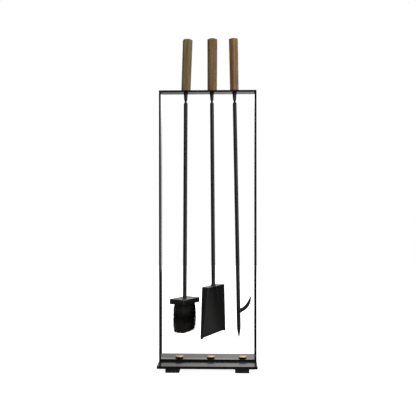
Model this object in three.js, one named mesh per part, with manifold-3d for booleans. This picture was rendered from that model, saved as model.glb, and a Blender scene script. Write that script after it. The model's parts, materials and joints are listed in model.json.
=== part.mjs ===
// Fireplace tool set: a brush, a shovel and a poker that hang in a rectangular loop of flat bar
// on a low base plate. Millimetres, +Z up, front towards -Y, origin on the floor under the centre.

import * as THREE from 'three';
import { mergeVertices } from 'three/addons/utils/BufferGeometryUtils.js';
import { ConvexGeometry } from 'three/addons/geometries/ConvexGeometry.js';
import Module from 'manifold-3d';

// ---- Driving dimensions ----

const contactGap = 0.3;            // kept between pieces that rest on each other in a tool
const roundSides = 24;

const plate = { width: 236, depth: 140, thickness: 6.35 };
const foot = { side: 33, height: 10.5, sideInset: 19.5, frontInset: 6, bevel: 1 };
const bar = { thickness: 4.76, depth: 32 };
const loopHeight = 655;            // outer height of the loop, from the plate's top face

const footScrew = { headRadius: 4, headHeight: 2.2, shankRadius: 2, recess: 1.5, reach: 4 };
const brassScrew = { xs: [-69.5, 7, 84.5], topRadius: 10.5, baseRadius: 7.5, headHeight: 5, shankRadius: 3 };
const screwClearance = 0.3;

// Each tool hangs from a keyhole in the top bar: a round seat with a narrower way in from the front.
const keyhole = { seatRadius: 5.9, slotWidth: 7 };
const seatCone = { topRadius: 5.6, bottomRadius: 4, length: 20.4, boreRadius: 2.8 };
const rod = { radius: 4.76, neckRadius: 2.4, tangRadius: 2.5, tangLength: 42, spigotRadius: 3 };
const neck = { top: -20.7, waist: -25.2, bottom: -31.2 };

const handle = { bottomRadius: 11.7, topRadius: 12.3, crown: 2.2, lift: 0.5, boreRadius: 3 };

// Where each tool hangs along the top bar, how far its foot leans to the right, and which way its head faces.
// Each handle is hand fitted: grip.turn sets its hexagon, and tilt and shift say how it is bored off true.
const tools = {
  brush: { x: -53.7, lean: -0.32, yaw: 60, grip: { length: 126, turn: 52, tilt: 1.7, shift: 0.4 } },
  shovel: { x: 9.9, lean: 0.43, yaw: 65, grip: { length: 127, turn: 57, tilt: 0.6, shift: 0.9 } },
  poker: { x: 65.0, lean: 1.03, yaw: 83, grip: { length: 127, turn: 83, tilt: 0, shift: 0 } },
};

const brushBlock = { length: 72, width: 41, height: 12.5, topHeight: 167.5, cornerRadius: 1.5 };
const brushNut = { radius: 5.6, height: 4, pocketRadius: 6.2, pocketDepth: 4.6 };
const bristles = { length: 54, width: 26, height: 70, cornerRadius: 8, bulge: 0.04 };

const pan = {
  topHeight: 197.9, height: 120, sheet: 1.5, topWidth: 75.5, lipWidth: 122,
  wallTop: 22.5, wallLip: 8.5, splay: 20, floorBack: 12.7, lipForward: 6.5,
};

const pokerTip = { height: 71, taper: 31, radius: 0.8 };
const hook = { rootHeight: 136.5, rootRadius: 4.2, tipRadius: 0.7 };

// ---- Levels worked out from them ----

const plateBottom = foot.height;
const plateTop = plateBottom + plate.thickness;
const barTop = plateTop + loopHeight;
const barSeat = plateTop + bar.thickness;

// ---- Materials ----

function material(color, roughness, metalness) {
  return new THREE.MeshStandardMaterial({ color, roughness, metalness });
}

const blackSteel = material(0x1c1b1b, 0.42, 0.3);
const blackRubber = material(0x171717, 0.8, 0);
const brass = material(0xb09a6a, 0.35, 1);
const zincSteel = material(0x9a9a98, 0.4, 1);
const oliveWood = material(0x776747, 0.6, 0);
const warmWood = material(0x8a6a42, 0.6, 0);
const blackPaint = material(0x242322, 0.5, 0);
const blackFibre = material(0x1b1916, 0.9, 0);

// ---- Geometry helpers ----

const wasm = await Module();
wasm.setup();

// Leaves only shared positions, and drops the empty triangles at a lathe's poles.
function weld(geometry) {
  geometry.deleteAttribute('normal');
  geometry.deleteAttribute('uv');
  const merged = mergeVertices(geometry, 1e-4);
  const corners = merged.index.array;
  const kept = [];
  for (let i = 0; i < corners.length; i += 3) {
    const [a, b, c] = [corners[i], corners[i + 1], corners[i + 2]];
    if (a !== b && b !== c && c !== a) kept.push(a, b, c);
  }
  merged.setIndex(kept);
  return merged;
}

function solidOf(geometry) {
  const welded = weld(geometry);
  return new wasm.Manifold(new wasm.Mesh({
    numProp: 3,
    vertProperties: new Float32Array(welded.attributes.position.array),
    triVerts: new Uint32Array(welded.index.array),
  }));
}

function geometryOf(solid) {
  const mesh = solid.getMesh();
  const geometry = new THREE.BufferGeometry();
  geometry.setAttribute('position', new THREE.BufferAttribute(new Float32Array(mesh.vertProperties), 3));
  geometry.setIndex(new THREE.BufferAttribute(new Uint32Array(mesh.triVerts), 1));
  return geometry;
}

function cut(geometry, ...cutters) {
  let solid = solidOf(geometry);
  for (const cutter of cutters) solid = solid.subtract(solidOf(cutter));
  return geometryOf(solid);
}

function join(...geometries) {
  let solid = solidOf(geometries[0]);
  for (const geometry of geometries.slice(1)) solid = solid.add(solidOf(geometry));
  return geometryOf(solid);
}

// Turns a profile of [radius, height] pairs about the Z axis; six sides make a hexagon with a corner on X.
function turned(profile, sides = roundSides) {
  const points = profile.map(([radius, height]) => new THREE.Vector2(radius, height));
  const geometry = new THREE.LatheGeometry(points, sides, Math.PI / 6, 2 * Math.PI);
  geometry.rotateX(Math.PI / 2);
  return weld(geometry);
}

function cylinder(radius, bottom, top, sides = roundSides) {
  return turned([[0, bottom], [radius, bottom], [radius, top], [0, top]], sides);
}

function box(width, depth, height, x, y, z) {
  const geometry = new THREE.BoxGeometry(width, depth, height);
  geometry.translate(x, y, z);
  return geometry;
}

function roundedRectangle(width, depth, radius) {
  const x = width / 2 - radius;
  const y = depth / 2 - radius;
  const shape = new THREE.Shape();
  shape.absarc(x, y, radius, 0, Math.PI / 2);
  shape.absarc(-x, y, radius, Math.PI / 2, Math.PI);
  shape.absarc(-x, -y, radius, Math.PI, 1.5 * Math.PI);
  shape.absarc(x, -y, radius, 1.5 * Math.PI, 2 * Math.PI);
  shape.closePath();
  return shape;
}

function roundedBlock(width, depth, height, radius, curveSegments = 3, steps = 1) {
  const outline = roundedRectangle(width, depth, radius);
  return new THREE.ExtrudeGeometry(outline, { depth: height, bevelEnabled: false, curveSegments, steps });
}

function piece(name, geometry, look) {
  const mesh = new THREE.Mesh(geometry, look);
  mesh.name = name;
  return mesh;
}

function placed(mesh, x, y, z) {
  mesh.position.set(x, y, z);
  return mesh;
}

// ---- Base: plate, feet and the screws that hold them ----

const footPlaces = {
  front_left: [-1, -1], front_right: [1, -1], rear_left: [-1, 1], rear_right: [1, 1],
};
const footX = plate.width / 2 - foot.sideInset - foot.side / 2;
const footY = plate.depth / 2 - foot.frontInset - foot.side / 2;

function basePlate() {
  const blank = box(plate.width, plate.depth, plate.thickness, 0, 0, plateBottom + plate.thickness / 2);
  const footHoles = Object.values(footPlaces).map(([side, end]) => {
    const hole = cylinder(footScrew.shankRadius + screwClearance, plateBottom - 1,
      plateBottom + footScrew.reach + screwClearance, 16);
    return hole.translate(side * footX, end * footY, 0);
  });
  const screwHoles = brassScrew.xs.map((x) => {
    const hole = cylinder(brassScrew.shankRadius + screwClearance, plateBottom - 1, plateTop + 1, 16);
    return hole.translate(x, 0, 0);
  });
  return piece('base_plate', cut(blank, ...footHoles, ...screwHoles), blackSteel);
}

function footPad(name) {
  const { side, height, bevel } = foot;
  const outline = roundedRectangle(side, side, bevel);
  const blank = new THREE.ExtrudeGeometry(outline, { depth: height, bevelEnabled: false, curveSegments: 2 });
  const clear = screwClearance;
  const screwHole = turned([
    [0, -1], [footScrew.headRadius + clear, -1], [footScrew.headRadius + clear, footScrew.recess],
    [footScrew.shankRadius + clear, footScrew.recess + footScrew.headHeight + clear],
    [footScrew.shankRadius + clear, height + 1], [0, height + 1],
  ], 16);
  return piece(name, cut(blank, screwHole), blackRubber);
}

function footScrewPiece(name) {
  const { headRadius, headHeight, shankRadius, recess, reach } = footScrew;
  const driveDepth = 1.2;
  const driveRadius = 1.5;
  const profile = [
    [0, recess + driveDepth], [driveRadius, recess + driveDepth], [driveRadius, recess], [headRadius, recess],
    [shankRadius, recess + headHeight], [shankRadius, foot.height + reach], [0, foot.height + reach],
  ];
  return piece(name, turned(profile, 16), zincSteel);
}

// ---- Loop: four flat bars with mitred corners ----

function mitredBar(length, name) {
  const half = length / 2;
  const outline = new THREE.Shape([
    new THREE.Vector2(-half, 0),
    new THREE.Vector2(half, 0),
    new THREE.Vector2(half - bar.thickness, bar.thickness),
    new THREE.Vector2(-half + bar.thickness, bar.thickness),
  ]);
  const geometry = new THREE.ExtrudeGeometry(outline, { depth: bar.depth, bevelEnabled: false });
  geometry.rotateX(Math.PI / 2);
  geometry.translate(0, bar.depth / 2, 0);
  return piece(name, geometry, blackSteel);
}

function bottomBar() {
  const mesh = mitredBar(plate.width, 'bottom_bar');
  const holes = brassScrew.xs.map((x) => {
    const hole = cylinder(brassScrew.shankRadius + screwClearance, -1, bar.thickness + 1, 16);
    return hole.translate(x, 0, 0);
  });
  mesh.geometry = cut(mesh.geometry, ...holes);
  return placed(mesh, 0, 0, plateTop);
}

// The mitred outline lies upside down here, so its long face is on top.
function topBar() {
  const mesh = mitredBar(plate.width, 'top_bar');
  mesh.geometry.rotateY(Math.PI);
  const keyholes = Object.values(tools).flatMap(({ x }) => [
    cylinder(keyhole.seatRadius, -bar.thickness - 1, 1).translate(x, 0, 0),
    box(keyhole.slotWidth, bar.depth / 2 + 1, bar.thickness + 2, x, -bar.depth / 4 - 0.5, -bar.thickness / 2),
  ]);
  mesh.geometry = cut(mesh.geometry, ...keyholes);
  return placed(mesh, 0, 0, barTop);
}

function post(name, side) {
  const mesh = mitredBar(loopHeight, name);
  mesh.geometry.rotateY(-side * Math.PI / 2);
  return placed(mesh, side * plate.width / 2, 0, plateTop + loopHeight / 2);
}

function brassScrewPiece(name) {
  const { topRadius, baseRadius, headHeight, shankRadius } = brassScrew;
  const edge = 0.8;
  const shankLength = bar.thickness + plate.thickness - 1;
  return piece(name, turned([
    [0, -shankLength], [shankRadius, -shankLength], [shankRadius, 0], [baseRadius, 0],
    [topRadius, headHeight - 2 * edge], [topRadius, headHeight - edge], [topRadius - edge, headHeight],
    [0, headHeight],
  ]), brass);
}

// ---- Tools: heights below are measured along the tool's axis from the top bar's top face ----

function axisHeight(heightAboveFloor) {
  return heightAboveFloor - barTop;
}

// The handle is turned, tilted and shifted along the loop, whichever way the tool's head faces.
function hexHandle(name, { yaw, grip }, look) {
  const { bottomRadius, topRadius, crown, boreRadius } = handle;
  const { length, turn, tilt, shift } = grip;
  const body = turned([
    [0, 0], [bottomRadius - 1, 0], [bottomRadius, 1], [topRadius, length - crown],
    [topRadius - crown, length - crown / 4], [0, length],
  ], 6);
  body.rotateZ(THREE.MathUtils.degToRad(turn));
  body.rotateY(THREE.MathUtils.degToRad(tilt));
  body.translate(shift, 0, 0);
  body.rotateZ(-THREE.MathUtils.degToRad(yaw));
  const bore = cylinder(boreRadius, -2, rod.tangLength + 1, 16);
  return placed(piece(name, cut(body, bore), look), 0, 0, handle.lift);
}

function seatConePiece(name) {
  const { topRadius, bottomRadius, length, boreRadius } = seatCone;
  return piece(name, turned([
    [boreRadius, -length], [bottomRadius, -length], [topRadius, 0], [boreRadius, 0], [boreRadius, -length],
  ]), blackSteel);
}

// The rod's profile from its lower end up: body, waisted neck, then the tang that the handle sits on.
function rodProfile(lowerEnd) {
  const waistSteps = 4;
  const waist = (from, to, radiusFrom, radiusTo) => Array.from({ length: waistSteps }, (_, i) => {
    const t = (i + 1) / waistSteps;
    const ease = (1 - Math.cos(Math.PI * t)) / 2;
    return [radiusFrom + (radiusTo - radiusFrom) * ease, from + (to - from) * t];
  });
  const tangTop = handle.lift + rod.tangLength;
  return [
    ...lowerEnd,
    [rod.radius, neck.bottom],
    ...waist(neck.bottom, neck.waist, rod.radius, rod.neckRadius),
    ...waist(neck.waist, neck.top, rod.neckRadius, seatCone.bottomRadius),
    [rod.tangRadius, neck.top],
    [rod.tangRadius, tangTop - 1],
    [rod.tangRadius - 0.6, tangTop],
    [0, tangTop],
  ];
}

function toolRod(name, lowerEnd) {
  return piece(name, turned(rodProfile(lowerEnd)), blackSteel);
}

// A group at the tool's keyhole, leaning and turned as the tool hangs.
function hangingTool({ x, lean, yaw }, ...pieces) {
  const group = new THREE.Group();
  group.position.set(x, 0, barTop);
  group.rotation.set(0, -THREE.MathUtils.degToRad(lean), THREE.MathUtils.degToRad(yaw));
  group.add(...pieces);
  return group;
}

// ---- Brush head ----

function brushHead() {
  const { length, width, height, topHeight, cornerRadius } = brushBlock;
  const top = axisHeight(topHeight);
  const bottom = top - height;
  const block = roundedBlock(length, width, height, cornerRadius).translate(0, 0, bottom);
  const spigotHole = cylinder(rod.spigotRadius + contactGap, bottom - 1, top + 1, 16);
  const nutPocket = cylinder(brushNut.pocketRadius, bottom - 1, bottom + brushNut.pocketDepth, 16);

  const nut = cut(
    cylinder(brushNut.radius, 0, brushNut.height, 6),
    cylinder(rod.spigotRadius + contactGap, -1, brushNut.height + 1, 16),
  );

  const tuft = roundedBlock(bristles.length, bristles.width, bristles.height, bristles.cornerRadius, 4, 8);
  const positions = tuft.attributes.position;
  for (let i = 0; i < positions.count; i += 1) {
    const swell = 1 + bristles.bulge * Math.sin(Math.PI * positions.getZ(i) / bristles.height);
    positions.setX(i, positions.getX(i) * swell);
    positions.setY(i, positions.getY(i) * swell);
  }

  return [
    piece('brush_block', cut(block, spigotHole, nutPocket), blackPaint),
    placed(piece('brush_nut', nut, zincSteel), 0, 0, bottom + contactGap),
    placed(piece('brush_bristles', weld(tuft), blackFibre), 0, 0, bottom - contactGap - bristles.height),
  ];
}

function brushRod() {
  const top = axisHeight(brushBlock.topHeight) + contactGap;
  const spigotEnd = axisHeight(brushBlock.topHeight) - brushBlock.height + contactGap;
  return toolRod('brush_rod', [
    [0, spigotEnd], [rod.spigotRadius, spigotEnd], [rod.spigotRadius, top], [rod.radius, top],
  ]);
}

// ---- Shovel pan: folded sheet, closed at the top and open at the lip ----

// A flat sheet from four corners of its outer face, thickened towards a point inside the pan.
function sheetPiece(corners, inside) {
  const plane = new THREE.Plane().setFromCoplanarPoints(corners[0], corners[1], corners[2]);
  if (plane.distanceToPoint(inside) < 0) plane.negate();
  const inward = plane.normal.clone().multiplyScalar(pan.sheet);
  const innerCorners = corners.map((corner) => corner.clone().add(inward));
  return new ConvexGeometry([...corners, ...innerCorners]);
}

function shovelPan() {
  const { height, topWidth, lipWidth, wallTop, wallLip, floorBack, lipForward } = pan;
  const splay = THREE.MathUtils.degToRad(pan.splay);
  const corner = (side, atLip) => new THREE.Vector3(
    side * (atLip ? lipWidth : topWidth) / 2,
    atLip ? floorBack - lipForward : floorBack,
    atLip ? -height : 0,
  );
  const wallEdge = (side, atLip) => {
    const wallHeight = atLip ? wallLip : wallTop;
    const offset = new THREE.Vector3(side * wallHeight * Math.sin(splay), -wallHeight * Math.cos(splay), 0);
    return corner(side, atLip).add(offset);
  };
  const inside = new THREE.Vector3(0, 0, -height / 2);
  const floor = sheetPiece([corner(-1, false), corner(1, false), corner(1, true), corner(-1, true)], inside);
  const walls = [-1, 1].map((side) => sheetPiece([
    corner(side, false), corner(side, true), wallEdge(side, true), wallEdge(side, false),
  ], inside));
  const endWall = sheetPiece([
    corner(-1, false), corner(1, false), wallEdge(1, false), wallEdge(-1, false),
  ], inside);
  return placed(piece('shovel_pan', join(floor, endWall, ...walls), blackSteel), 0, 0, axisHeight(pan.topHeight));
}

function shovelRod() {
  const end = axisHeight(pan.topHeight) + contactGap;
  return toolRod('shovel_rod', [[0, end], [rod.radius, end]]);
}

// ---- Poker: pointed rod with a curved spur ----

function pokerRod() {
  const tip = axisHeight(pokerTip.height);
  const shoulder = tip + pokerTip.taper;
  const middleRadius = 0.62 * rod.radius;
  return toolRod('poker_rod', [
    [0, tip], [pokerTip.radius, tip], [middleRadius, tip + pokerTip.taper / 2],
    [0.93 * rod.radius, shoulder - 4], [rod.radius, shoulder],
  ]);
}

// A cylinder bent along the spur's curve, thinning to its point. The spur points along local -Y.
function pokerHook() {
  const root = axisHeight(hook.rootHeight);
  const spine = new THREE.CubicBezierCurve3(
    new THREE.Vector3(0, 0, root),
    new THREE.Vector3(0, -15, root + 3),
    new THREE.Vector3(0, -26, root + 14),
    new THREE.Vector3(0, -30.8, root + 36),
  );
  const steps = 14;
  const geometry = new THREE.CylinderGeometry(1, 1, 1, 16, steps);
  const positions = geometry.attributes.position;
  const sideways = new THREE.Vector3(1, 0, 0);
  for (let i = 0; i < positions.count; i += 1) {
    const t = positions.getY(i) + 0.5;
    const radius = THREE.MathUtils.lerp(hook.rootRadius, hook.tipRadius, t ** 3.5);
    const across = new THREE.Vector3().crossVectors(spine.getTangent(t), sideways);
    const point = spine.getPoint(t)
      .addScaledVector(sideways, positions.getX(i) * radius)
      .addScaledVector(across, -positions.getZ(i) * radius);
    positions.setXYZ(i, point.x, point.y, point.z);
  }
  const rodSpace = cylinder(rod.radius + contactGap, root - 20, root + 20);
  return piece('poker_hook', cut(geometry, rodSpace), blackSteel);
}

// ---- Assembly ----

const set = new THREE.Group();

set.add(basePlate(), bottomBar(), topBar(), post('left_post', -1), post('right_post', 1));

for (const [place, [side, end]] of Object.entries(footPlaces)) {
  set.add(placed(footPad(`foot_${place}`), side * footX, end * footY, 0));
  set.add(placed(footScrewPiece(`foot_screw_${place}`), side * footX, end * footY, 0));
}

for (const [i, place] of ['left', 'middle', 'right'].entries()) {
  set.add(placed(brassScrewPiece(`brass_screw_${place}`), brassScrew.xs[i], 0, barSeat));
}

set.add(hangingTool(
  tools.brush,
  hexHandle('brush_handle', tools.brush, oliveWood),
  seatConePiece('brush_seat_cone'),
  brushRod(),
  ...brushHead(),
));

set.add(hangingTool(
  tools.shovel,
  hexHandle('shovel_handle', tools.shovel, oliveWood),
  seatConePiece('shovel_seat_cone'),
  shovelRod(),
  shovelPan(),
));

set.add(hangingTool(
  tools.poker,
  hexHandle('poker_handle', tools.poker, warmWood),
  seatConePiece('poker_seat_cone'),
  pokerRod(),
  pokerHook(),
));

export default set;
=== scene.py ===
import json
import math
import random

import bmesh
import bpy
from mathutils import Matrix, Vector


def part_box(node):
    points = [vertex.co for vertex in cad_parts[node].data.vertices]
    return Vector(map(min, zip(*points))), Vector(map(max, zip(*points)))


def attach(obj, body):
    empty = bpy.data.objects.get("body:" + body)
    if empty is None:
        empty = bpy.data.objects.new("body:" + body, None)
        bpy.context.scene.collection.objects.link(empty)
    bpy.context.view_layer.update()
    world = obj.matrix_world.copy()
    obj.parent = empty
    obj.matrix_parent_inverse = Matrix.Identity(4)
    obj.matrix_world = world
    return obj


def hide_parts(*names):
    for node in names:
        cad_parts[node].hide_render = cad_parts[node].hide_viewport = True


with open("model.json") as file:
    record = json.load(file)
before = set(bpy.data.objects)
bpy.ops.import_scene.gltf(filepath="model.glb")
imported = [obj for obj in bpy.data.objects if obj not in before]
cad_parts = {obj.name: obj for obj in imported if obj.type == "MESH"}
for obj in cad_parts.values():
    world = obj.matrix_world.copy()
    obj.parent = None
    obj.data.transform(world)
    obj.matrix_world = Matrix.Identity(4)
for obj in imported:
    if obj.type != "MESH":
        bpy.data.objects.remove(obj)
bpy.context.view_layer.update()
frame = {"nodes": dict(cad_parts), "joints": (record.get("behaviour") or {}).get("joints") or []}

MM = 0.001
BODY_STAND = "stand"

# How each tool's head is turned about its own axis, and how its handle is fitted along the loop:
# its length, the turn of its hexagon, and how far it is bored off square and off centre.
TOOL_YAW = {"brush": 60, "shovel": 65, "poker": 83}
GRIPS = {
    "brush": {"length": 126, "turn": 52, "tilt": 1.7, "shift": 0.4},
    "shovel": {"length": 127, "turn": 57, "tilt": 0.6, "shift": 0.9},
    "poker": {"length": 127, "turn": 83, "tilt": 0, "shift": 0},
}


# ---- Camera, light and floor ----

FOCAL_LENGTH = 55.7
SENSOR = 36
CAMERA_PLACE = Vector((42, -1570, 376)) * MM
SIDE_SHIFT = 0.0004
HORIZON_SHIFT = 0.0109
CAMERA_ROLL = math.radians(0.03)

# Name, place and target in metres, width, height, and brightness.
SOFTBOXES = [
    ("overhead", (0.2, -0.4, 2.4), (0, 0, 0), 2.4, 2.0, 1.5),
    ("key_right", (1.5, -2.1, 0.9), (0, 0, 0.45), 1.2, 1.9, 3.3),
    ("side_right", (2.4, -0.9, 0.7), (0, 0, 0.3), 1.0, 1.8, 2.0),
    ("back_high", (0.3, 1.9, 2.1), (0, 0, 0.3), 1.8, 1.0, 2.0),
    ("fill_left", (-1.6, -2.6, 0.9), (0, 0, 0.45), 1.2, 1.6, 1.2),
]
BACKDROP = {"centre": (0.3, 2.6, 1.15), "half_width": 2.4, "half_height": 1.15}
FLOOR_SIZE = 6.0
FLOOR_DROP = 0.2


def add_camera():
    data = bpy.data.cameras.new("camera")
    data.sensor_width = SENSOR
    data.lens = FOCAL_LENGTH
    data.shift_x = SIDE_SHIFT
    data.shift_y = HORIZON_SHIFT
    camera = bpy.data.objects.new("camera", data)
    bpy.context.collection.objects.link(camera)
    bpy.context.scene.camera = camera
    turn = math.atan2(CAMERA_PLACE.x, -CAMERA_PLACE.y)
    camera.location = CAMERA_PLACE
    camera.rotation_euler = (math.pi / 2, CAMERA_ROLL, turn)


def add_softbox(name, place, target, width, height, brightness):
    data = bpy.data.lights.new(name, "AREA")
    data.shape = "RECTANGLE"
    data.size = width
    data.size_y = height
    data.energy = brightness * math.pi * width * height
    light = bpy.data.objects.new(name, data)
    bpy.context.collection.objects.link(light)
    light.location = place
    direction = Vector(target) - Vector(place)
    light.rotation_euler = direction.to_track_quat("-Z", "Y").to_euler()
    light.visible_camera = False


def add_world():
    """White to the eye, and dim as a light, so that the softboxes shape the metal."""
    world = bpy.data.worlds.new("studio")
    bpy.context.scene.world = world
    world.use_nodes = True
    tree = world.node_tree
    tree.nodes.clear()
    path = tree.nodes.new("ShaderNodeLightPath")
    seen = tree.nodes.new("ShaderNodeBackground")
    seen.inputs["Color"].default_value = (1, 1, 1, 1)
    seen.inputs["Strength"].default_value = 1.0
    lit = tree.nodes.new("ShaderNodeBackground")
    lit.inputs["Color"].default_value = (1, 0.99, 0.98, 1)
    lit.inputs["Strength"].default_value = 0.09
    mix = tree.nodes.new("ShaderNodeMixShader")
    output = tree.nodes.new("ShaderNodeOutputWorld")
    tree.links.new(path.outputs["Is Camera Ray"], mix.inputs["Fac"])
    tree.links.new(lit.outputs["Background"], mix.inputs[1])
    tree.links.new(seen.outputs["Background"], mix.inputs[2])
    tree.links.new(mix.outputs["Shader"], output.inputs["Surface"])


def add_backdrop():
    """A large wall panel behind the set, brighter towards the top and the right. Only the metal sees it."""
    bm = bmesh.new()
    bmesh.ops.create_grid(bm, x_segments=1, y_segments=1, size=1)
    bm.transform(Matrix.Translation(BACKDROP["centre"]) @ Matrix.Rotation(math.pi / 2, 4, "X")
                 @ Matrix.Diagonal((BACKDROP["half_width"], BACKDROP["half_height"], 1, 1)))
    mesh = bpy.data.meshes.new("backdrop")
    bm.to_mesh(mesh)
    bm.free()
    panel = bpy.data.objects.new("backdrop", mesh)
    bpy.context.collection.objects.link(panel)
    look = Look("backdrop_glow")
    split = look.node("ShaderNodeSeparateXYZ")
    look.link(look.place, split.inputs[0])
    rise = look.spread(split.outputs["Z"], 0.0, 1.0, 0.05, 1.2)
    upward = look.spread(look.math("POWER", rise, 4.5), 0.45, 2.9)
    sideways = look.spread(split.outputs["X"], 0.27, 1.05, -0.65, 0.1)
    look.surface((0.5, 0.5, 0.5), roughness=1.0)
    look.shader.inputs["Emission Color"].default_value = (1, 0.985, 0.96, 1)
    look.link(look.math("MULTIPLY", upward, sideways), look.shader.inputs["Emission Strength"])
    mesh.materials.append(look.material)
    panel.visible_camera = False
    panel.visible_shadow = False


def add_studio():
    scene = bpy.context.scene
    scene.view_settings.view_transform = "Standard"
    add_world()
    add_backdrop()
    for name, place, target, width, height, brightness in SOFTBOXES:
        add_softbox(name, place, target, width, height, brightness)


def add_floor():
    """A bright, nearly shadow-free table top, just under the feet, which doesn't show in the metal."""
    bm = bmesh.new()
    bmesh.ops.create_grid(bm, x_segments=2, y_segments=2, size=FLOOR_SIZE / 2)
    mesh = bpy.data.meshes.new("floor")
    bm.to_mesh(mesh)
    bm.free()
    floor = bpy.data.objects.new("floor", mesh)
    floor.location.z = -FLOOR_DROP * MM
    bpy.context.collection.objects.link(floor)
    look = Look("floor_pale")
    noise = look.noise(scale=40, detail=3)
    tone = look.ramp(noise, [(0.3, (0.90, 0.90, 0.895)), (0.7, (0.93, 0.93, 0.925))])
    look.surface(tone, roughness=0.9)
    look.shader.inputs["Emission Color"].default_value = (1, 1, 1, 1)
    look.shader.inputs["Emission Strength"].default_value = 0.93
    mesh.materials.append(look.material)
    floor.visible_glossy = False
    floor.visible_diffuse = False


# ---- Shader helper ----

class Look:
    """A procedural material, built from a few named steps in object coordinates."""

    def __init__(self, name):
        self.material = bpy.data.materials.new(name)
        self.material.use_nodes = True
        self.tree = self.material.node_tree
        self.shader = self.tree.nodes["Principled BSDF"]
        self.place = self.tree.nodes.new("ShaderNodeTexCoord").outputs["Object"]

    def node(self, kind, **settings):
        made = self.tree.nodes.new(kind)
        for key, value in settings.items():
            setattr(made, key, value)
        return made

    def link(self, source, target):
        self.tree.links.new(source, target)

    def stretched(self, scale=(1, 1, 1), turn=(0, 0, 0)):
        mapping = self.node("ShaderNodeMapping")
        self.link(self.place, mapping.inputs["Vector"])
        mapping.inputs["Scale"].default_value = scale
        mapping.inputs["Rotation"].default_value = turn
        return mapping.outputs["Vector"]

    def noise(self, scale, detail=4, roughness=0.5, vector=None, distortion=0.0):
        made = self.node("ShaderNodeTexNoise")
        self.link(vector or self.place, made.inputs["Vector"])
        made.inputs["Scale"].default_value = scale
        made.inputs["Detail"].default_value = detail
        made.inputs["Roughness"].default_value = roughness
        made.inputs["Distortion"].default_value = distortion
        return made.outputs["Fac"]

    def cells(self, scale, vector=None):
        made = self.node("ShaderNodeTexVoronoi", feature="F1")
        self.link(vector or self.place, made.inputs["Vector"])
        made.inputs["Scale"].default_value = scale
        return made.outputs["Distance"]

    def rings(self, scale, vector, distortion=0.0, detail=2):
        made = self.node("ShaderNodeTexWave", wave_type="RINGS", rings_direction="Z")
        self.link(vector, made.inputs["Vector"])
        made.inputs["Scale"].default_value = scale
        made.inputs["Distortion"].default_value = distortion
        made.inputs["Detail"].default_value = detail
        return made.outputs["Fac"]

    def ramp(self, value, stops):
        made = self.node("ShaderNodeValToRGB")
        self.link(value, made.inputs["Fac"])
        elements = made.color_ramp.elements
        while len(elements) < len(stops):
            elements.new(0.5)
        for element, (position, color) in zip(elements, stops):
            element.position = position
            element.color = (*color, 1)
        return made.outputs["Color"]

    def spread(self, value, low, high, from_low=0.0, from_high=1.0):
        made = self.node("ShaderNodeMapRange")
        self.link(value, made.inputs["Value"])
        made.inputs["From Min"].default_value = from_low
        made.inputs["From Max"].default_value = from_high
        made.inputs["To Min"].default_value = low
        made.inputs["To Max"].default_value = high
        return made.outputs["Result"]

    def math(self, operation, first, second):
        made = self.node("ShaderNodeMath", operation=operation)
        self.plug(first, made.inputs[0])
        self.plug(second, made.inputs[1])
        return made.outputs[0]

    def mix(self, amount, first, second):
        made = self.node("ShaderNodeMix", data_type="RGBA")
        self.plug(amount, made.inputs["Factor"])
        self.plug(first, made.inputs[6])
        self.plug(second, made.inputs[7])
        return made.outputs[2]

    def plug(self, value, socket):
        if isinstance(value, bpy.types.NodeSocket):
            self.link(value, socket)
        elif isinstance(value, tuple):
            socket.default_value = (*value, 1)
        else:
            socket.default_value = value

    def edge(self, radius, sharpness=0.18):
        """1 on convex and concave edges, 0 on flat faces."""
        bevel = self.node("ShaderNodeBevel", samples=4)
        bevel.inputs["Radius"].default_value = radius
        geometry = self.node("ShaderNodeNewGeometry")
        dot = self.node("ShaderNodeVectorMath", operation="DOT_PRODUCT")
        self.link(bevel.outputs["Normal"], dot.inputs[0])
        self.link(geometry.outputs["Normal"], dot.inputs[1])
        return self.spread(dot.outputs["Value"], 1.0, 0.0, 1.0 - sharpness, 1.0)

    def bump(self, heights, distance):
        """Chains bumps: each entry is (height, strength)."""
        normal = None
        for height, strength in heights:
            made = self.node("ShaderNodeBump")
            made.inputs["Strength"].default_value = strength
            made.inputs["Distance"].default_value = distance
            self.link(height, made.inputs["Height"])
            if normal is not None:
                self.link(normal, made.inputs["Normal"])
            normal = made.outputs["Normal"]
        self.link(normal, self.shader.inputs["Normal"])

    def surface(self, color, roughness, metallic=0.0, ior=1.5):
        self.plug(color, self.shader.inputs["Base Color"])
        self.plug(roughness, self.shader.inputs["Roughness"])
        self.shader.inputs["Metallic"].default_value = metallic
        self.shader.inputs["IOR"].default_value = ior


# ---- Materials ----

def powder_coat(name, gloss=0.16, tone=1.0):
    """Satin black powder coat: fine orange peel, cloudy gloss, and edges lightened a little: part rubbed
    wear, part painted edge highlight.
    """
    look = Look(name)
    cloud = look.noise(scale=9, detail=5, roughness=0.6)
    peel = look.noise(scale=620, detail=2)
    grit = look.noise(scale=2600, detail=1)
    # tone sets this coat's brightness per part: the same black coat is painted darker on the rods (0.7) and
    # lighter on the pan (1.8), as painted shade and painted light for how light falls on them.
    dark = tuple(tone * c for c in (0.0088, 0.0084, 0.0084))
    light = tuple(tone * c for c in (0.0150, 0.0144, 0.0142))
    base = look.ramp(cloud, [(0.3, dark), (0.7, light)])
    # Lighter colour on convex and concave edges: partly rubbed wear, partly a painted highlight along the
    # edges.
    edge = look.math("MULTIPLY", look.edge(0.0004), look.noise(scale=130, detail=4))
    rubbed = look.spread(edge, 0.0, 0.75, 0.25, 0.75)
    color = look.mix(rubbed, base, (0.034, 0.032, 0.031))
    rough = look.math("ADD", look.spread(cloud, gloss - 0.04, gloss + 0.05, 0.3, 0.7),
                      look.spread(peel, -0.03, 0.03))
    look.surface(color, rough)
    look.bump([(peel, 0.22), (grit, 0.12)], distance=0.00001)
    return look.material


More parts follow.
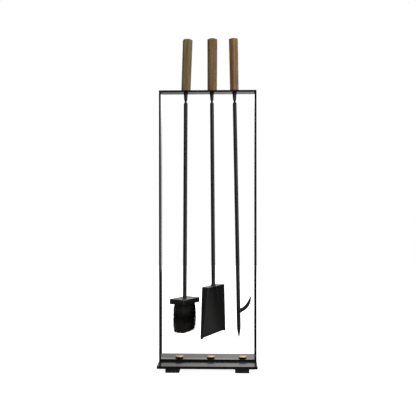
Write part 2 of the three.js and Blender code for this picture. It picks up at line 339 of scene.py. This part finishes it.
def walnut(name, dark, middle, light, grain_turn=0.0):
    """Oiled straight-grained wood: growth bands, long fibres, short dark pores."""
    look = Look(name)
    along = look.stretched(scale=(1, 1, 0.035), turn=(math.radians(3), math.radians(2), grain_turn))
    band_space = look.stretched(scale=(1, 1, 0.06), turn=(math.radians(4), math.radians(-5), grain_turn))
    warp = look.noise(scale=70, detail=3, vector=along)
    bands = look.noise(scale=230, detail=5, roughness=0.65, vector=band_space, distortion=0.6)
    fibres = look.noise(scale=1500, detail=3, roughness=0.7, vector=along)
    pore_space = look.stretched(scale=(1, 1, 0.09), turn=(0, 0, grain_turn))
    pores = look.cells(scale=1300, vector=pore_space)
    figure = look.math("ADD", look.math("MULTIPLY", bands, 0.65), look.math("MULTIPLY", warp, 0.35))
    color = look.ramp(figure, [(0.36, dark), (0.50, middle), (0.66, light)])
    streak = look.mix(look.spread(fibres, 0.0, 0.5, 0.45, 0.75), color, dark)
    pore = look.spread(pores, 0.75, 0.0, 0.05, 0.22)
    with_pores = look.mix(pore, streak, tuple(0.45 * c for c in dark))
    worn = look.math("MULTIPLY", look.edge(0.0012), 0.35)
    final = look.mix(worn, with_pores, light)
    look.surface(final, look.spread(fibres, 0.42, 0.62, 0.3, 0.7), ior=1.46)
    look.bump([(fibres, 0.25), (look.spread(pores, -1.0, 0.0, 0.0, 0.2), 0.2)], distance=0.00015)
    return look.material


def turned_brass(name, centre):
    """Satin brass with fine lathe marks about its own axis and a thin, uneven tarnish."""
    look = Look(name)
    shift = look.node("ShaderNodeVectorMath", operation="SUBTRACT")
    look.link(look.place, shift.inputs[0])
    shift.inputs[1].default_value = centre
    marks = look.rings(scale=950, vector=shift.outputs["Vector"], distortion=1.2)
    cloud = look.noise(scale=160, detail=5, roughness=0.65)
    color = look.ramp(cloud, [
        (0.30, (0.22, 0.160, 0.080)), (0.55, (0.33, 0.250, 0.135)), (0.8, (0.42, 0.330, 0.190)),
    ])
    worn = look.mix(look.math("MULTIPLY", look.edge(0.0006), 0.6), color, (0.60, 0.50, 0.33))
    look.surface(worn, look.spread(cloud, 0.24, 0.42, 0.3, 0.75), metallic=1.0)
    look.bump([(marks, 0.16), (look.noise(scale=1800, detail=2), 0.08)], distance=0.0001)
    return look.material


def zinc_steel(name):
    look = Look(name)
    brushed = look.noise(scale=900, detail=3, vector=look.stretched(scale=(1, 1, 0.1)))
    color = look.ramp(brushed, [(0.3, (0.34, 0.34, 0.33)), (0.7, (0.52, 0.52, 0.50))])
    look.surface(color, look.spread(brushed, 0.3, 0.5), metallic=1.0)
    look.bump([(brushed, 0.2)], distance=0.0001)
    return look.material


def moulded_rubber(name):
    look = Look(name)
    grain = look.noise(scale=1400, detail=3)
    cloud = look.noise(scale=60, detail=4)
    color = look.ramp(cloud, [(0.3, (0.008, 0.008, 0.008)), (0.7, (0.016, 0.0155, 0.015))])
    dusty = look.mix(look.math("MULTIPLY", look.edge(0.0008), 0.4), color, (0.04, 0.039, 0.037))
    look.surface(dusty, look.spread(grain, 0.6, 0.85))
    look.bump([(grain, 0.4)], distance=0.0002)
    return look.material


def painted_wood(name):
    """Black satin paint over wood: the grain still shows in the gloss."""
    look = Look(name)
    yaw = math.radians(TOOL_YAW["brush"])
    turned = look.stretched(turn=(0, 0, -yaw))
    mapping = look.node("ShaderNodeMapping")
    look.link(turned, mapping.inputs["Vector"])
    mapping.inputs["Scale"].default_value = (0.05, 1, 1)
    grain = look.noise(scale=900, detail=4, vector=mapping.outputs["Vector"])
    cloud = look.noise(scale=30, detail=4)
    color = look.ramp(cloud, [(0.3, (0.011, 0.0105, 0.0105)), (0.7, (0.018, 0.017, 0.0165))])
    edge = look.math("MULTIPLY", look.edge(0.0012), look.noise(scale=200, detail=3))
    rubbed = look.mix(look.spread(edge, 0.0, 0.7, 0.3, 0.75), color, (0.05, 0.046, 0.04))
    look.surface(rubbed, look.spread(grain, 0.32, 0.5, 0.3, 0.7))
    look.bump([(grain, 0.35), (cloud, 0.1)], distance=0.0002)
    return look.material


def bristle_fibre(name):
    """Coarse black fibre: each strand carries its own tone."""
    look = Look(name)
    tone = look.node("ShaderNodeAttribute", attribute_name="tone").outputs["Fac"]
    speck = look.noise(scale=900, detail=2, vector=look.stretched(scale=(1, 1, 0.2)))
    mixed = look.math("ADD", look.math("MULTIPLY", tone, 0.8), look.math("MULTIPLY", speck, 0.2))
    color = look.ramp(mixed, [
        (0.10, (0.004, 0.0037, 0.0032)), (0.55, (0.012, 0.0108, 0.009)), (0.84, (0.028, 0.025, 0.020)),
        (0.97, (0.16, 0.15, 0.13)),
    ])
    look.surface(color, look.spread(speck, 0.55, 0.75))
    return look.material


# ---- Mesh helpers: shapes are given in millimetres, in a tool's or the frame's own axes ----

def tool_matrix(tool):
    """From a tool's own axes, with its origin on the top bar, to the row frame."""
    turn = next(joint for joint in frame["joints"] if joint["name"] == f"{tool}_turn")
    axis = Vector(turn["axis"])
    lean = math.atan2(axis.x, axis.z)
    return (Matrix.Translation(turn["pos_m"]) @ Matrix.Rotation(lean, 4, "Y")
            @ Matrix.Rotation(math.radians(TOOL_YAW[tool]), 4, "Z") @ Matrix.Scale(MM, 4))


def finished(name, bm, material, body, matrix=Matrix.Scale(MM, 4), replaces=(), smooth=35):
    """Turns a bmesh in millimetres into a named piece that rides on a body."""
    bmesh.ops.recalc_face_normals(bm, faces=bm.faces)
    bm.transform(matrix)
    mesh = bpy.data.meshes.new(name)
    bm.to_mesh(mesh)
    bm.free()
    piece = bpy.data.objects.new(name, mesh)
    bpy.context.collection.objects.link(piece)
    mesh.materials.append(material)
    mesh.shade_smooth()
    mesh.set_sharp_from_angle(angle=math.radians(smooth))
    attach(piece, body)
    if replaces:
        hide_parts(*replaces)
    return piece


def ring(bm, points):
    return [bm.verts.new(point) for point in points]


def bridge(bm, lower, upper):
    count = len(lower)
    for i in range(count):
        j = (i + 1) % count
        bm.faces.new((lower[i], lower[j], upper[j], upper[i]))


def lathe(bm, profile, segments=56):
    """Turns [radius, height] pairs about Z. A radius of 0 makes a pole."""
    rings = []
    for radius, height in profile:
        if radius == 0:
            rings.append([bm.verts.new((0, 0, height))])
            continue
        angles = [2 * math.pi * i / segments for i in range(segments)]
        rings.append(ring(bm, [(radius * math.cos(a), radius * math.sin(a), height) for a in angles]))
    for lower, upper in zip(rings, rings[1:]):
        if len(lower) == 1 or len(upper) == 1:
            pole, around = (lower[0], upper) if len(lower) == 1 else (upper[0], lower)
            for i in range(segments):
                bm.faces.new((pole, around[i], around[(i + 1) % segments]))
        else:
            bridge(bm, lower, upper)


def arc(centre, radius, start, end, steps):
    """Points [radius, height] on a circle round centre, from one angle in degrees to another."""
    angles = [math.radians(start + (end - start) * i / steps) for i in range(steps + 1)]
    return [(centre[0] + radius * math.cos(a), centre[1] + radius * math.sin(a)) for a in angles]


def cad_copy(node):
    """The CAD node's mesh with shared corners and whole flat faces, ready for edge rounding."""
    bm = bmesh.new()
    bm.from_mesh(frame["nodes"][node].data)
    bmesh.ops.remove_doubles(bm, verts=bm.verts, dist=2e-6)
    bmesh.ops.dissolve_limit(bm, angle_limit=math.radians(0.5), verts=bm.verts, edges=bm.edges)
    return bm


def eased(node, name, material, body, width, segments=3, only=None):
    """A copy of a CAD node with its edges rounded. only(edge) picks the edges to round."""
    bm = cad_copy(node)
    weights = bm.edges.layers.float.new("bevel_weight_edge")
    for edge in bm.edges:
        turned = len(edge.link_faces) == 2 and edge.calc_face_angle(0) > math.radians(25)
        edge[weights] = 1.0 if turned and (only is None or only(edge)) else 0.0
    piece = finished(name, bm, material, body, matrix=Matrix.Identity(4), replaces=(node,))
    bevel = piece.modifiers.new("eased", "BEVEL")
    bevel.limit_method = "WEIGHT"
    bevel.width = width * MM
    bevel.segments = segments
    bevel.use_clamp_overlap = True
    bevel.harden_normals = False
    return piece


# ---- Base and loop ----

def build_base(coat, rubber, zinc):
    eased("base_plate", "base_plate_eased", coat, BODY_STAND, width=0.4)
    for place in ("front_left", "front_right", "rear_left", "rear_right"):
        eased(f"foot_{place}", f"foot_{place}_moulded", rubber, BODY_STAND, width=0.9)
        eased(f"foot_screw_{place}", f"foot_screw_{place}_eased", zinc, BODY_STAND, width=0.15)


def runs_along(edge, axis):
    span = edge.verts[1].co - edge.verts[0].co
    return span.length > 0 and abs(span.normalized()[axis]) > 0.999


def build_loop(coat):
    """The mitred ends stay flush, so only the long edges and the cut-outs are rounded."""
    for node in ("left_post", "right_post"):
        eased(node, f"{node}_eased", coat, BODY_STAND, width=0.25,
              only=lambda edge: runs_along(edge, 2))
    for node in ("bottom_bar", "top_bar"):
        low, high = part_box(node)
        end = high.x - (high.z - low.z) - 0.25 * MM
        eased(node, f"{node}_eased", coat, BODY_STAND, width=0.25,
              only=lambda edge, end=end: runs_along(edge, 0) or max(abs(v.co.x) for v in edge.verts) < end)


def build_brass_screws():
    """Low round heads, narrower where they meet the bar, with a shallow turned dish on top."""
    top_radius, base_radius, head, edge = 10.5, 7.5, 5.0, 0.7
    shank_radius = 3.0
    for place in ("left", "middle", "right"):
        node = f"brass_screw_{place}"
        low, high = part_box(node)
        centre = Vector(((low.x + high.x) / 2, (low.y + high.y) / 2, high.z - head * MM))
        shank = (high.z - low.z) / MM - head
        profile = [
            (0, -shank), (shank_radius - 0.4, -shank), (shank_radius, -shank + 0.4), (shank_radius, 0),
            (base_radius - 0.3, 0), (base_radius, 0.3), (base_radius + 1.0, 0.8), (base_radius + 2.2, 1.5),
            (top_radius - 0.3, head - 2.8), (top_radius, head - 2.2),
            *arc((top_radius - edge, head - 1.5), edge, 0, 80, 7),
            (top_radius - 1.6, head - 0.72), (top_radius - 4.5, head - 0.35), (2.0, head - 0.12),
            (0, head - 0.08),
        ]
        bm = bmesh.new()
        lathe(bm, profile, segments=72)
        material = turned_brass(f"turned_brass_{place}", centre)
        finished(f"{node}_turned", bm, material, BODY_STAND,
                 matrix=Matrix.Translation(centre) @ Matrix.Scale(MM, 4), replaces=(node,), smooth=50)


# ---- What the three tools share ----

HANDLE = {"bottom": 11.7, "top": 12.3, "lift": 0.5}
ROD_RADIUS = 4.76
NECK_RADIUS = 2.4
TANG_RADIUS = 2.5
TANG_LENGTH = 42
BORE_RADIUS = 3
NECK_TOP, NECK_WAIST, NECK_BOTTOM = -20.7, -25.2, -31.2


def soft_hexagon(corner_radius, ease, inset=0.0, arc_steps=4):
    """A hexagon with a corner on X, its corners rounded by ease and its flats moved in by inset."""
    reach = corner_radius - inset / math.cos(math.pi / 6)
    points = []
    for i in range(6):
        direction = math.radians(60 * i)
        centre_reach = reach - ease / math.cos(math.pi / 6)
        centre = (centre_reach * math.cos(direction), centre_reach * math.sin(direction))
        for k in range(arc_steps + 1):
            angle = direction + math.radians(-30 + 60 * k / arc_steps)
            points.append((centre[0] + ease * math.cos(angle), centre[1] + ease * math.sin(angle)))
    return points


def build_handle(tool, wood, seed):
    """A tapering hexagon with hand-eased corners and a softly crowned end."""
    rng = random.Random(seed)
    grip, lift = GRIPS[tool], HANDLE["lift"]
    length = grip["length"]
    crown, foot_ease, ease = 2.4, 0.9, 0.9
    levels = [(height, foot_ease - height) for height in (0.0, 0.15, 0.45, foot_ease)]
    body = [(length * k / 14, 0.0) for k in range(1, 14)]
    top = [(length - crown + crown * math.sin(a) * 0.92, crown * (1 - math.cos(a)))
           for a in (math.radians(d) for d in (0, 15, 30, 45, 60, 75, 88))]
    bm = bmesh.new()
    rings = []
    for height, inset in levels + body + top:
        share = height / length
        radius = HANDLE["bottom"] + (HANDLE["top"] - HANDLE["bottom"]) * share
        wander = rng.uniform(-0.04, 0.04)
        outline = soft_hexagon(radius + wander, ease, inset)
        rings.append(ring(bm, [(x, y, height) for x, y in outline]))
    for lower, upper in zip(rings, rings[1:]):
        bridge(bm, lower, upper)
    tip = bm.verts.new((0, 0, length - 0.05))
    last = rings[-1]
    for i in range(len(last)):
        bm.faces.new((last[i], last[(i + 1) % len(last)], tip))
    fitted = (Matrix.Translation((grip["shift"], 0, 0))
              @ Matrix.Rotation(math.radians(grip["tilt"]), 4, "Y")
              @ Matrix.Rotation(math.radians(grip["turn"]), 4, "Z"))
    bm.transform(fitted)
    around = [2 * math.pi * i / len(last) + math.radians(grip["turn"]) for i in range(len(last))]
    bore = ring(bm, [(BORE_RADIUS * math.cos(a), BORE_RADIUS * math.sin(a), 0) for a in around])
    bridge(bm, bore, rings[0])
    bore_end = ring(bm, [(v.co.x, v.co.y, TANG_LENGTH + 1) for v in bore])
    bridge(bm, bore_end, bore)
    bm.faces.new(bore_end)
    unturned = Matrix.Rotation(-math.radians(TOOL_YAW[tool]), 4, "Z")
    place = tool_matrix(tool) @ Matrix.Translation((0, 0, lift)) @ unturned
    finished(f"{tool}_handle_carved", bm, wood, tool, matrix=place,
             replaces=(f"{tool}_handle",), smooth=28)


def build_seat_cone(tool, coat):
    bm = bmesh.new()
    lathe(bm, [
        (2.8, -20.4), (3.6, -20.4), (4.0, -20.1), (5.55, -0.6), (5.3, 0), (2.8, 0), (2.8, -20.4),
    ], segments=56)
    bmesh.ops.remove_doubles(bm, verts=bm.verts, dist=1e-4)
    finished(f"{tool}_seat_cone_turned", bm, coat, f"{tool}_seat",
             matrix=tool_matrix(tool), replaces=(f"{tool}_seat_cone",))


def waist(start, end, radius_start, radius_end, steps=9):
    """A smooth flare between two heights, without its first point."""
    points = []
    for i in range(1, steps + 1):
        t = i / steps
        ease = (1 - math.cos(math.pi * t)) / 2
        points.append((radius_start + (radius_end - radius_start) * ease, start + (end - start) * t))
    return points


def build_rod(tool, coat, lower_end):
    """A round rod from its lower end up to the waisted neck and the tang in the handle."""
    tang_top = HANDLE["lift"] + TANG_LENGTH
    lower_top = lower_end[-1][1]
    stations = 24
    body = [(ROD_RADIUS, lower_top + (NECK_BOTTOM - lower_top) * k / stations)
            for k in range(1, stations + 1)]
    profile = [
        *lower_end, *body,
        *waist(NECK_BOTTOM, NECK_WAIST, ROD_RADIUS, NECK_RADIUS),
        *waist(NECK_WAIST, NECK_TOP, NECK_RADIUS, 4.0),
        (TANG_RADIUS, NECK_TOP), (TANG_RADIUS, tang_top - 1), (TANG_RADIUS - 0.6, tang_top), (0, tang_top),
    ]
    bm = bmesh.new()
    lathe(bm, profile)
    finished(f"{tool}_rod_turned", bm, coat, tool,
             matrix=tool_matrix(tool), replaces=(f"{tool}_rod",))


# ---- Brush ----

BLOCK = {"length": 72, "width": 41, "height": 12.5, "drop": -504.35}
TUFT_FIELD = {"length": 55, "width": 27, "columns": 12, "rows": 6}
BRISTLE_LENGTH = 70.5
BRISTLES_PER_TUFT = 34
STRAY_BRISTLES = 620
TUFT_RADIUS = 1.9
WORN_SIDE = 3.5
BOW = 2.3


def rounded_outline(length, width, radius, steps=5):
    points = []
    for i, (sx, sy) in enumerate(((1, 1), (-1, 1), (-1, -1), (1, -1))):
        centre = (sx * (length / 2 - radius), sy * (width / 2 - radius))
        points += arc(centre, radius, 90 * i, 90 * (i + 1), steps)
    return points


def build_block(paint):
    length, width, height, top = (BLOCK[key] for key in ("length", "width", "height", "drop"))
    ease, corner = 1.2, 2.0
    bottom = top - height
    levels = [(bottom + ease * (1 - math.cos(a)), ease * (1 - math.sin(a)))
              for a in (math.radians(d) for d in (0, 30, 60, 90))]
    levels += [(top - ease * (1 - math.sin(a)), ease * (1 - math.cos(a)))
               for a in (math.radians(d) for d in (0, 30, 60, 90))]
    bm = bmesh.new()
    rings = []
    for level, inset in levels:
        outline = rounded_outline(length - 2 * inset, width - 2 * inset, corner)
        rings.append(ring(bm, [(x, y, level) for x, y in outline]))
    for lower, upper in zip(rings, rings[1:]):
        bridge(bm, lower, upper)
    bm.faces.new(rings[-1])
    bm.faces.new(list(reversed(rings[0])))
    finished("brush_block_shaped", bm, paint, "brush",
             matrix=tool_matrix("brush"), replaces=("brush_block",), smooth=40)


def add_strand(bm, tone_layer, path, radius, tone, sides=3):
    """A thin tapering tube through a few points."""
    rings = []
    for k, point in enumerate(path):
        thickness = radius * (1 - 0.45 * k / (len(path) - 1))
        turn = 0.7 * k
        rings.append(ring(bm, [
            (point[0] + thickness * math.cos(turn + 2 * math.pi * i / sides),
             point[1] + thickness * math.sin(turn + 2 * math.pi * i / sides), point[2])
            for i in range(sides)
        ]))
    for lower, upper in zip(rings, rings[1:]):
        bridge(bm, lower, upper)
    bm.faces.new(rings[0])
    bm.faces.new(rings[-1])
    for strand_ring in rings:
        for vert in strand_ring:
            vert[tone_layer] = tone


def strand_path(rng, x, y, top, length, splay, curl):
    """A bristle that bows out from the field's centre and comes part of the way back."""
    reach_x = x / (TUFT_FIELD["length"] / 2)
    reach_y = y / (TUFT_FIELD["width"] / 2)
    lean = (reach_x * splay + rng.gauss(0, curl), reach_y * splay + rng.gauss(0, curl))
    sway = (rng.gauss(0, curl * 0.8), rng.gauss(0, curl * 0.8))
    points = []
    steps = 5
    for k in range(steps + 1):
        t = k / steps
        swell = BOW * math.sin(math.pi * t * 0.85)
        points.append((
            x + reach_x * swell + lean[0] * t + sway[0] * math.sin(2.2 * math.pi * t),
            y + reach_y * swell + lean[1] * t + sway[1] * math.sin(2.2 * math.pi * t),
            top - length * t,
        ))
    return points


def build_bristles(fibre):
    rng = random.Random(7)
    top = BLOCK["drop"] - BLOCK["height"] + 1.0
    bm = bmesh.new()
    tone_layer = bm.verts.layers.float.new("tone")
    columns, rows = TUFT_FIELD["columns"], TUFT_FIELD["rows"]
    for column in range(columns):
        for row in range(rows):
            centre_x = TUFT_FIELD["length"] * ((column + 0.5) / columns - 0.5)
            centre_y = TUFT_FIELD["width"] * ((row + 0.5) / rows - 0.5)
            for _ in range(BRISTLES_PER_TUFT):
                spread = TUFT_RADIUS * math.sqrt(rng.random())
                angle = rng.uniform(0, 2 * math.pi)
                x = centre_x + spread * math.cos(angle)
                y = centre_y + spread * math.sin(angle)
                worn_side = WORN_SIDE * max(0.0, x / TUFT_FIELD["length"] * 2) ** 2
                length = BRISTLE_LENGTH + 0.6 - abs(rng.gauss(0, 1.5)) - worn_side
                path = strand_path(rng, x, y, top, length, splay=-2.0, curl=1.1)
                add_strand(bm, tone_layer, path, rng.uniform(0.24, 0.34), rng.uniform(0, 0.85))
    for _ in range(STRAY_BRISTLES):
        around = rng.uniform(0, 2 * math.pi)
        reach = rng.uniform(0.8, 1.0)
        x = max(-1.0, min(1.0, 1.3 * math.cos(around))) * TUFT_FIELD["length"] / 2 * reach
        y = max(-1.0, min(1.0, 1.3 * math.sin(around))) * TUFT_FIELD["width"] / 2 * reach
        path = strand_path(rng, x, y, top, BRISTLE_LENGTH * rng.uniform(0.88, 1.0),
                           splay=rng.gauss(0.4, 2.2), curl=1.6)
        add_strand(bm, tone_layer, path, rng.uniform(0.14, 0.22), rng.uniform(0.3, 1.0))
    finished("brush_bristle_tufts", bm, fibre, "brush",
             matrix=tool_matrix("brush"), replaces=("brush_bristles",), smooth=80)


def build_brush(coat, paint, fibre, zinc, wood):
    build_handle("brush", wood, seed=1)
    build_seat_cone("brush", coat)
    top = BLOCK["drop"]
    build_rod("brush", coat, [
        (0, top - BLOCK["height"] + 0.3), (3, top - BLOCK["height"] + 0.3), (3, top - 0.2),
        (5.5, top - 0.2), (5.2, top + 0.6), (ROD_RADIUS, top + 1.4),
    ])
    build_block(paint)
    build_bristles(fibre)
    eased("brush_nut", "brush_nut_eased", zinc, "brush", width=0.3)


# ---- Shovel ----

PAN = {
    "drop": -473.95, "height": 120, "sheet": 1.5, "top_width": 75.5, "lip_width": 122,
    "wall_top": 22.5, "wall_lip": 8.5, "splay": 20, "floor_back": 12.7, "lip_forward": 6.5, "fold": 3.2,
}


def pan_section(share, inset=0.0):
    """The pan's outer U at a share of its height from the top: left rim, fold, floor, fold, right rim."""
    splay = math.radians(PAN["splay"])
    half = (PAN["top_width"] + (PAN["lip_width"] - PAN["top_width"]) * share) / 2
    wall = PAN["wall_top"] + (PAN["wall_lip"] - PAN["wall_top"]) * share
    floor_y = PAN["floor_back"] - PAN["lip_forward"] * share
    floor_in = Vector((0, -1))
    points = []
    for side in (-1, 1):
        corner = Vector((side * half, floor_y))
        up_wall = Vector((side * math.sin(splay), -math.cos(splay)))
        wall_in = Vector((-side * math.cos(splay), -math.sin(splay)))
        moved = corner + inset * (floor_in + wall_in) / (1 + floor_in.dot(wall_in))
        fold = max(PAN["fold"] - inset, 0.4)
        opening = math.pi / 2 + splay
        setback = fold / math.tan(opening / 2)
        centre = moved + setback * up_wall + fold * wall_in
        rim = moved + (wall - inset) * up_wall
        start = (moved + setback * up_wall) - centre
        end = (moved + setback * Vector((-side, 0))) - centre
        turn = start.angle_signed(end)
        bend = [centre + Matrix.Rotation(-turn * k / 6, 2) @ start for k in range(7)]
        run = [rim, rim.lerp(bend[0], 0.5), *bend]
        points.append(run)
    left, right = points
    across = [left[-1].lerp(right[-1], k / 8) for k in range(1, 8)]
    return [*left, *across, *reversed(right)]


def build_pan(coat):
    """Folded sheet: one U-shaped strip that widens to the lip, turned over at the top as an end wall."""
    drop, height = PAN["drop"], PAN["height"]
    turn_over = 2.6
    bm = bmesh.new()
    rows = []
    for degrees in (0, 18, 36, 54, 72, 90):
        a = math.radians(degrees)
        depth = turn_over * (1 - math.cos(a))
        section = pan_section(depth / height, inset=turn_over * (1 - math.sin(a)))
        rows.append(ring(bm, [(p.x, p.y, drop - depth) for p in section]))
    steps = 12
    for k in range(1, steps + 1):
        depth = turn_over + (height - turn_over) * k / steps
        section = pan_section(depth / height)
        rows.append(ring(bm, [(p.x, p.y, drop - depth) for p in section]))
    for upper, lower in zip(rows, rows[1:]):
        for i in range(len(upper) - 1):
            bm.faces.new((upper[i], upper[i + 1], lower[i + 1], lower[i]))
    bm.faces.new(rows[0])
    piece = finished("shovel_pan_folded", bm, coat, "shovel",
                     matrix=tool_matrix("shovel"), replaces=("shovel_pan",), smooth=50)
    sheet = piece.modifiers.new("sheet", "SOLIDIFY")
    sheet.thickness = PAN["sheet"] * MM
    sheet.offset = 1
    sheet.use_even_offset = True
    sheet.use_quality_normals = True
    rim = piece.modifiers.new("rim", "BEVEL")
    rim.width = 0.35 * MM
    rim.segments = 2
    rim.limit_method = "ANGLE"
    rim.angle_limit = math.radians(60)


def build_shovel(coat, sheet_coat_painted_lighter, wood):
    build_handle("shovel", wood, seed=2)
    build_seat_cone("shovel", coat)
    seat = PAN["drop"] + 0.1
    weld = [(6.3, seat), (6.6, seat + 0.5), (6.4, seat + 1.2), (5.7, seat + 2.0), (5.1, seat + 2.9),
            (ROD_RADIUS, seat + 3.6)]
    build_rod("shovel", coat, [(0, seat), *weld])
    build_pan(sheet_coat_painted_lighter)


# ---- Poker ----

def bezier(points, t):
    a, b, c, d = points
    s = 1 - t
    return s ** 3 * a + 3 * s * s * t * b + 3 * s * t * t * c + t ** 3 * d


def bezier_slope(points, t):
    a, b, c, d = points
    s = 1 - t
    return (3 * s * s * (b - a) + 6 * s * t * (c - b) + 3 * t * t * (d - c)).normalized()


def build_spur(coat):
    """A forged spur that leaves the rod nearly level, curves up and draws out to a point."""
    root = -535.35
    spine = [Vector((0, -reach, root + rise)) for reach, rise in ((0, 0), (15, 3), (26, 14), (30.8, 36))]
    root_radius, tip_radius, steps, sides = 4.6, 0.7, 34, 32
    sideways = Vector((1, 0, 0))
    bm = bmesh.new()
    rings = []
    for k in range(steps + 1):
        t = k / steps
        centre = bezier(spine, t)
        across = bezier_slope(spine, t).cross(sideways)
        away = -centre.y - ROD_RADIUS
        weld = 1.3 * math.exp(-max(away, 0.0) ** 2 / 2.2)
        radius = root_radius + (tip_radius - root_radius) * t ** 4.2 + weld
        angles = [2 * math.pi * i / sides for i in range(sides)]
        rings.append(ring(bm, [
            centre + radius * (math.cos(a) * sideways + math.sin(a) * across) for a in angles]))
    for lower, upper in zip(rings, rings[1:]):
        bridge(bm, lower, upper)
    tip = bm.verts.new(bezier(spine, 1.0) + 0.4 * bezier_slope(spine, 1.0))
    for i in range(sides):
        bm.faces.new((rings[-1][i], rings[-1][(i + 1) % sides], tip))
    bm.faces.new(list(reversed(rings[0])))
    finished("poker_hook_forged", bm, coat, "poker",
             matrix=tool_matrix("poker"), replaces=("poker_hook",), smooth=60)


def build_poker(coat, wood):
    build_handle("poker", wood, seed=3)
    build_seat_cone("poker", coat)
    tip = -600.85
    taper, end_radius = 31, 0.9
    point = [(0, tip), *arc((0, tip + end_radius), end_radius, -60, 0, 3)]
    cone = []
    for k in range(1, 13):
        t = k / 12
        radius = end_radius + (ROD_RADIUS - end_radius) * math.sin(0.5 * math.pi * t) ** 1.15
        cone.append((radius, tip + end_radius + (taper - end_radius) * t))
    build_rod("poker", coat, [*point, *cone])
    build_spur(coat)


# ---- The whole set ----

add_camera()
add_studio()
add_floor()

frame_coat = powder_coat("powder_coat_frame")
# Shaded and lit copies of the frame's coat: the rods are painted darker and the pan is painted lighter,
# standing in for how light falls on them.
rod_coat_painted_darker = powder_coat("powder_coat_rods_painted_darker", gloss=0.46, tone=0.7)
pan_coat_painted_lighter = powder_coat("powder_coat_pan_painted_lighter", gloss=0.42, tone=1.8)
zinc = zinc_steel("zinc_steel")

build_base(frame_coat, moulded_rubber("moulded_rubber"), zinc)
build_loop(frame_coat)
build_brass_screws()

olive_brush = walnut("walnut_brush", (0.145, 0.100, 0.038), (0.265, 0.190, 0.076), (0.340, 0.250, 0.108))
olive_shovel = walnut("walnut_shovel", (0.150, 0.090, 0.031), (0.285, 0.180, 0.069), (0.370, 0.243, 0.104),
                      grain_turn=0.9)
warm_poker = walnut("walnut_poker", (0.160, 0.084, 0.026), (0.315, 0.170, 0.058), (0.400, 0.228, 0.090),
                    grain_turn=2.1)

build_brush(rod_coat_painted_darker, painted_wood("painted_block"), bristle_fibre("bristle_fibre"), zinc, olive_brush)
build_shovel(rod_coat_painted_darker, pan_coat_painted_lighter, olive_shovel)
build_poker(rod_coat_painted_darker, warm_poker)
